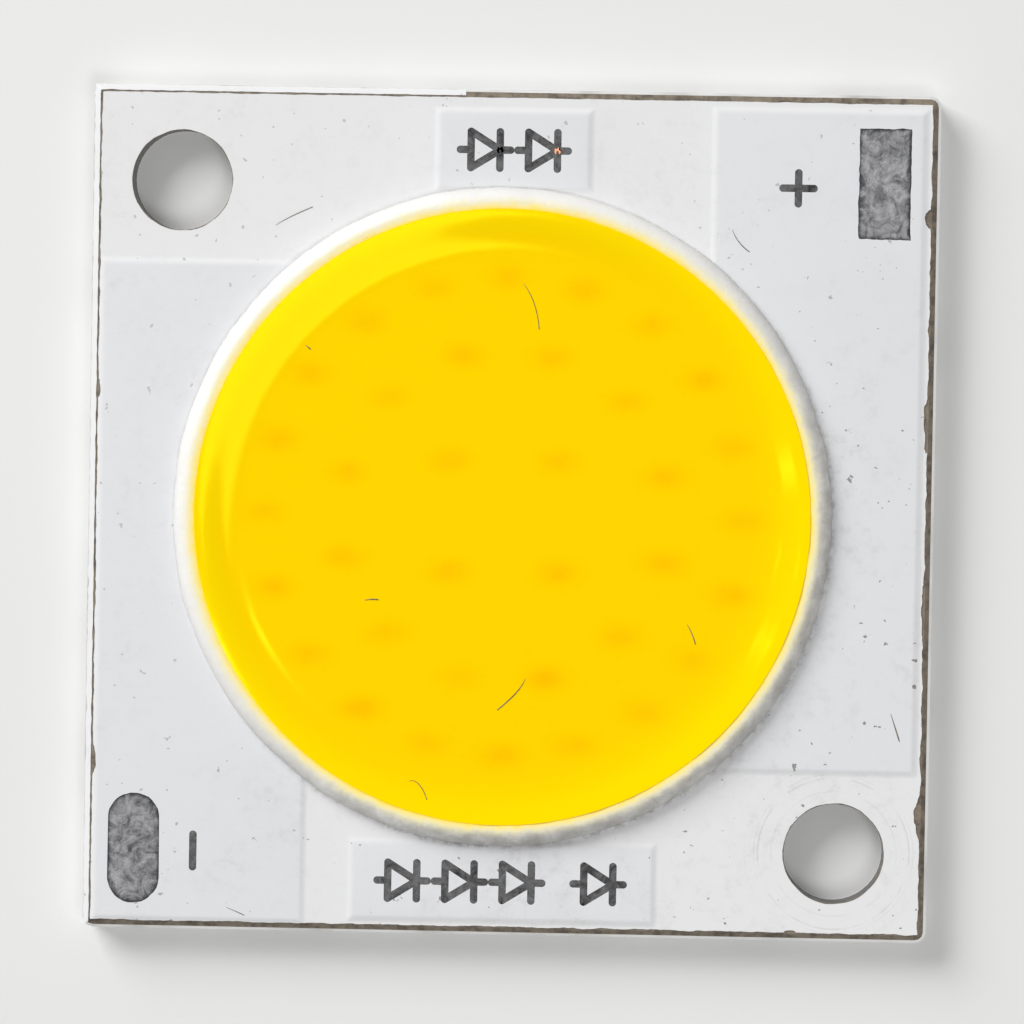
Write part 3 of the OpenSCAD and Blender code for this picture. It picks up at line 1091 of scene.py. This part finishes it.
@dataclass
class GelPool:
    """The phosphor gel: a dished pool whose edge climbs the dam, shaded over each die."""

    layout: Layout
    turns: int = 300
    rings: int = 66
    spot_x: float = 0.66
    spot_y: float = 0.40
    climb_w = 1.1

    def die_shade(self, point: Vector) -> float:
        """How far a point of the gel's face lies over a die, from 0 to 1."""
        shade = 0.0
        for k, die in enumerate(self.layout.dies):
            dx = (point.x - die.middle.x) / self.spot_x
            dy = (point.y - die.middle.y) / self.spot_y
            away = dx * dx + dy * dy
            if away < 9:
                strength = 0.8 + 0.35 * noise.noise(Vector((k * 1.7, 2.0, 0)))
                shade = max(shade, strength * math.exp(-away))
        return shade

    def build(self) -> bpy.types.Object:
        """Makes the pool."""
        layout = self.layout
        middle, r = layout.gel.middle, layout.gel.size.x / 2
        low = layout.gel.low.z
        pool = blob(middle, r, r, 0.0, 0.0)
        piece = prism("gel_pool", pool, self.turns, low, layout.gel.high.z)
        with editing(piece):
            bpy.ops.mesh.select_all(action="DESELECT")
            bpy.ops.object.mode_set(mode="OBJECT")
            for face in piece.data.polygons:
                face.select = face.normal.z > 0.9
            bpy.ops.object.mode_set(mode="EDIT")
            for _ in range(self.rings - 1):
                bpy.ops.mesh.inset(thickness=r / self.rings * MM, use_even_offset=True)
            bpy.ops.mesh.merge(type="COLLAPSE")
        for vertex in piece.data.vertices:
            if vertex.co.z / MM > low + 0.01:
                away = (vertex.co / MM - middle).xy.length
                vertex.co.z = layout.gel_z(min(away, r)) * MM
        face_outwards(piece)
        smooth(piece, 40)
        store(piece, "die_shade", self.die_shade)
        return dress(piece, GelFinish().paint(layout), Slot.GEL, "phosphor_gel")


@dataclass
class Dirt:
    """Fibres on the gel and the coat, and specks of dirt beside the dam."""

    layout: Layout
    fibre_r: float = 0.018
    foot_specks: int = 260
    loose_specks: int = 150
    seed: int = 11
    fibres: tuple[tuple[tuple[float, float], ...], ...] = (
        ((0.30, 7.62), (0.62, 7.25), (0.82, 6.75), (0.86, 6.10)),
        ((0.60, -5.45), (0.45, -5.85), (0.10, -6.15), (-0.31, -6.50)),
        ((-4.75, -2.95), (-4.55, -2.88), (-4.30, -2.92)),
        ((-3.18, -8.90), (-2.95, -8.80), (-2.70, -9.05), (-2.58, -9.50)),
        ((5.91, -3.55), (6.10, -3.80), (6.20, -4.20)),
        ((-6.85, 5.45), (-6.68, 5.32)),
        ((-7.92, 9.40), (-7.40, 9.75), (-6.71, 10.02)),
        ((7.17, 9.50), (7.35, 9.00), (7.75, 8.78)),
        ((12.70, -6.40), (12.85, -6.85), (13.00, -7.30)),
        ((-9.20, -13.25), (-8.90, -13.35), (-8.60, -13.50)),
    )

    def face_z(self, x: float, y: float) -> float:
        """Height of the gel's or the coat's face at a point."""
        away = math.hypot(x - self.layout.dam.middle.x, y - self.layout.dam.middle.y)
        if away < self.layout.gel.size.x / 2:
            return self.layout.gel_z(away)
        return self.layout.coat_z(x, y)

    def build_fibres(self) -> bpy.types.Object:
        """Makes the fibres: thin bent hairs that lie on the surface."""
        hairs = []
        for k, route in enumerate(self.fibres):
            bpy.ops.curve.primitive_nurbs_path_add()
            hair = bpy.context.object
            hair.name = "hair"
            spline = hair.data.splines[0]
            spline.points.add(max(len(route) - len(spline.points), 0))
            stops = list(route) + [route[-1]] * (len(spline.points) - len(route))
            for point, (x, y) in zip(spline.points, stops):
                point.co = (x * MM, y * MM, (self.face_z(x, y) + 0.3 * self.fibre_r) * MM, 1)
            for point, width in zip(spline.points, (0.3, 1.0, 1.2, 0.6)):
                point.radius = width
            spline.use_endpoint_u = True
            hair.data.resolution_u = 6
            hair.data.bevel_depth = self.fibre_r * (0.8 + 0.4 * (k % 3) / 2) * MM
            hair.data.bevel_resolution = 1
            hair.data.use_fill_caps = True
            take(hair)
            bpy.ops.object.convert(target="MESH")
            hairs.append(bpy.context.object)
        piece = join(hairs, "fibres")
        face_outwards(piece)
        finish = SpeckledFinish("fibre", (0.09, 0.07, 0.045), (0.20, 0.16, 0.11), 0.6, scale=6.0, depth=0.001)
        return dress(piece, finish.paint(), Slot.DIELECTRIC)

    def build_specks(self) -> bpy.types.Object:
        """Makes the specks: small flat grains scattered where dirt has gathered."""
        draw = random.Random(self.seed)
        grains = []
        middle = self.layout.dam.middle
        foot = self.layout.crest_r + self.layout.tube_r
        layout_gel_r = self.layout.gel.size.x / 2
        bpy.ops.mesh.primitive_ico_sphere_add(subdivisions=1, radius=1)
        model = start("speck")
        for k in range(self.foot_specks + self.loose_specks):
            if k < self.foot_specks:
                turn = math.radians(draw.gauss(-20, 55))
                away = foot + 0.05 + abs(draw.gauss(0, 0.9))
                x, y = middle.x + away * math.cos(turn), middle.y + away * math.sin(turn)
            else:
                x, y = draw.uniform(-13.3, 13.3), draw.uniform(-13.3, 13.3)
            size = draw.uniform(0.015, 0.05)
            stretch, heading = draw.uniform(1, 2.4), draw.uniform(0, math.pi)
            away = math.hypot(x - middle.x, y - middle.y)
            if layout_gel_r < away < foot:
                continue
            if max(abs(x), abs(y)) > 13.4 or any(math.hypot(x - h.x, y - h.y) < 2 for h in self.layout.holes):
                continue
            grain = model.copy()
            grain.data = model.data.copy()
            bpy.context.scene.collection.objects.link(grain)
            grain.matrix_world = (
                Matrix.Translation(Vector((x, y, self.face_z(x, y))) * MM)
                @ Matrix.Rotation(heading, 4, "Z")
                @ Matrix.Diagonal(Vector((size * stretch, size, size * 0.35, 1)) * MM)
            )
            grains.append(grain)
        discard(model)
        piece = join(grains, "dirt_specks")
        finish = SpeckledFinish("dirt", (0.10, 0.09, 0.08), (0.25, 0.23, 0.20), 0.8, scale=5.0, depth=0.001)
        return dress(piece, finish.paint(), Slot.DIELECTRIC)


def wear(node: bpy.types.Object, material: bpy.types.Material) -> None:
    """Puts a finish on a CAD node."""
    node.material_slots[0].material = material


def store(piece: bpy.types.Object, name: str, rule: Callable[[Vector], float]) -> None:
    """Stores a number on each point of a piece, worked out from its place in millimetres."""
    values = piece.data.attributes.new(name, "FLOAT", "POINT")
    for vertex, value in zip(piece.data.vertices, values.data):
        value.value = rule(vertex.co / MM)


def dress(piece: bpy.types.Object, material: bpy.types.Material, slot: Slot, *stands_for: str) -> bpy.types.Object:
    """Gives a piece its finish and its place in the model.

    Args:
        piece: The finished mesh.
        material: Its material.
        slot: The record's slot that it belongs to; not used.
        *stands_for: CAD nodes that it replaces.

    Returns:
        The piece.
    """
    piece.data.materials.clear()
    piece.data.materials.append(material)
    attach(piece, BODY)
    if stands_for:
        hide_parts(*stands_for)
    log.info("%s: %d faces", piece.name, len(piece.data.polygons))
    return piece


# Studio


@dataclass(frozen=True)
class Lamp:
    """A soft lamp that faces the middle of the board."""

    name: str
    place: tuple[float, float, float]
    width: float
    length: float
    power: float

    def light(self) -> None:
        """Makes the lamp."""
        data = bpy.data.lights.new(self.name, "AREA")
        data.shape = "RECTANGLE"
        data.size = self.width * MM
        data.size_y = self.length * MM
        data.energy = self.power
        lamp = bpy.data.objects.new(self.name, data)
        bpy.context.scene.collection.objects.link(lamp)
        lamp.location = Vector(self.place) * MM
        lamp.rotation_euler = (-Vector(self.place)).to_track_quat("-Z", "Y").to_euler()


@dataclass
class Studio:
    """Pale floor, soft light and the camera."""

    floor_half: float = 900.0
    eye: tuple[float, float, float] = (5.2, 6.0, 200.0)
    aim: tuple[float, float, float] = (0.058, 0.045, 1.4)
    roll: float = -1.0
    lens: float = 211.1
    lamps: tuple[Lamp, ...] = (
        Lamp("key", (-310.0, 310.0, 310.0), 320.0, 320.0, 2.75),
        Lamp("card", (84.0, -106.0, 400.0), 160.0, 160.0, 0.46),
        Lamp("left_window", (-152.0, -40.0, 400.0), 8.0, 16.0, 0.008),
        Lamp("middle_window", (-128.0, 4.0, 400.0), 6.0, 8.0, 0.003),
        Lamp("back_window", (-138.0, 44.0, 400.0), 7.0, 18.0, 0.006),
        Lamp("right_window", (44.0, 16.0, 400.0), 10.0, 24.0, 0.012),
    )

    def set_camera(self) -> None:
        """Makes the camera."""
        data = bpy.data.cameras.new("camera")
        data.lens = self.lens
        data.sensor_width = 36
        data.clip_start = 0.005
        data.clip_end = 20
        camera = bpy.data.objects.new("camera", data)
        bpy.context.scene.collection.objects.link(camera)
        forward = (Vector(self.aim) - Vector(self.eye)).normalized()
        lean = math.radians(self.roll)
        right = forward.cross(Vector((math.sin(lean), math.cos(lean), 0))).normalized()
        up = right.cross(forward)
        turn = Matrix((right, up, -forward)).transposed().to_4x4()
        camera.matrix_world = Matrix.Translation(Vector(self.eye) * MM) @ turn
        bpy.context.scene.camera = camera

    def set_floor(self) -> None:
        """Makes the floor."""
        bpy.ops.mesh.primitive_circle_add(vertices=64, radius=self.floor_half * MM, fill_type="NGON")
        floor = start("floor")
        paint = Paint("pale_floor", 0.7)
        colour = paint.mix(paint.noise(0.02), (0.74, 0.74, 0.735), (0.78, 0.78, 0.775))
        floor.data.materials.append(paint.finish(colour))

    def set_world(self) -> None:
        """Makes the sky: a plain level of light, and white where a ray meets it directly."""
        world = bpy.data.worlds.new("sky")
        world.use_nodes = True
        bpy.context.scene.world = world
        nodes, links = world.node_tree.nodes, world.node_tree.links
        nodes["Background"].inputs["Color"].default_value = (1, 1, 1, 1)
        path = nodes.new("ShaderNodeLightPath")
        seen = path.outputs["Is Camera Ray"]
        for name in ("Is Glossy Ray", "Is Transmission Ray"):
            largest = nodes.new("ShaderNodeMath")
            largest.operation = "MAXIMUM"
            links.new(seen, largest.inputs[0])
            links.new(path.outputs[name], largest.inputs[1])
            seen = largest.outputs[0]
        level = nodes.new("ShaderNodeMapRange")
        links.new(seen, level.inputs["Value"])
        level.inputs["To Min"].default_value = 0.26
        level.inputs["To Max"].default_value = 1.0
        links.new(level.outputs["Result"], nodes["Background"].inputs["Strength"])

    def set_up(self) -> None:
        """Makes the whole studio."""
        bpy.context.scene.view_settings.view_transform = "Standard"
        self.set_camera()
        self.set_floor()
        self.set_world()
        for lamp in self.lamps:
            lamp.light()


def corners(span: Sequence[Sequence[float]]) -> list[list[float]]:
    """Two corners as plain lists of numbers."""
    return [[float(value) for value in corner] for corner in span]


def main() -> None:
    """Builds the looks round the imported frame."""
    logging.basicConfig(level=logging.INFO, format="%(name)s: %(message)s")
    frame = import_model()
    layout = Layout.read(frame)
    Studio().set_up()
    Board(frame["nodes"], layout).dress()
    Circuit(frame["nodes"]).dress()
    pads, marks = Pads(layout), Marks(layout)
    openings = [
        pads.opening(Span.of("pad_positive"), False),
        pads.opening(Span.of("pad_negative"), True),
        *marks.openings(),
    ]
    WhiteCoat(layout).build(openings)
    CoatRim(layout).build()
    pads.build("tin_pad_positive", "pad_positive", False)
    pads.build("tin_pad_negative", "pad_negative", True)
    marks.build()
    Dam(layout).build()
    GelPool(layout).build()
    dirt = Dirt(layout)
    dirt.build_fibres()
    dirt.build_specks()


if __name__ == "__main__":
    main()
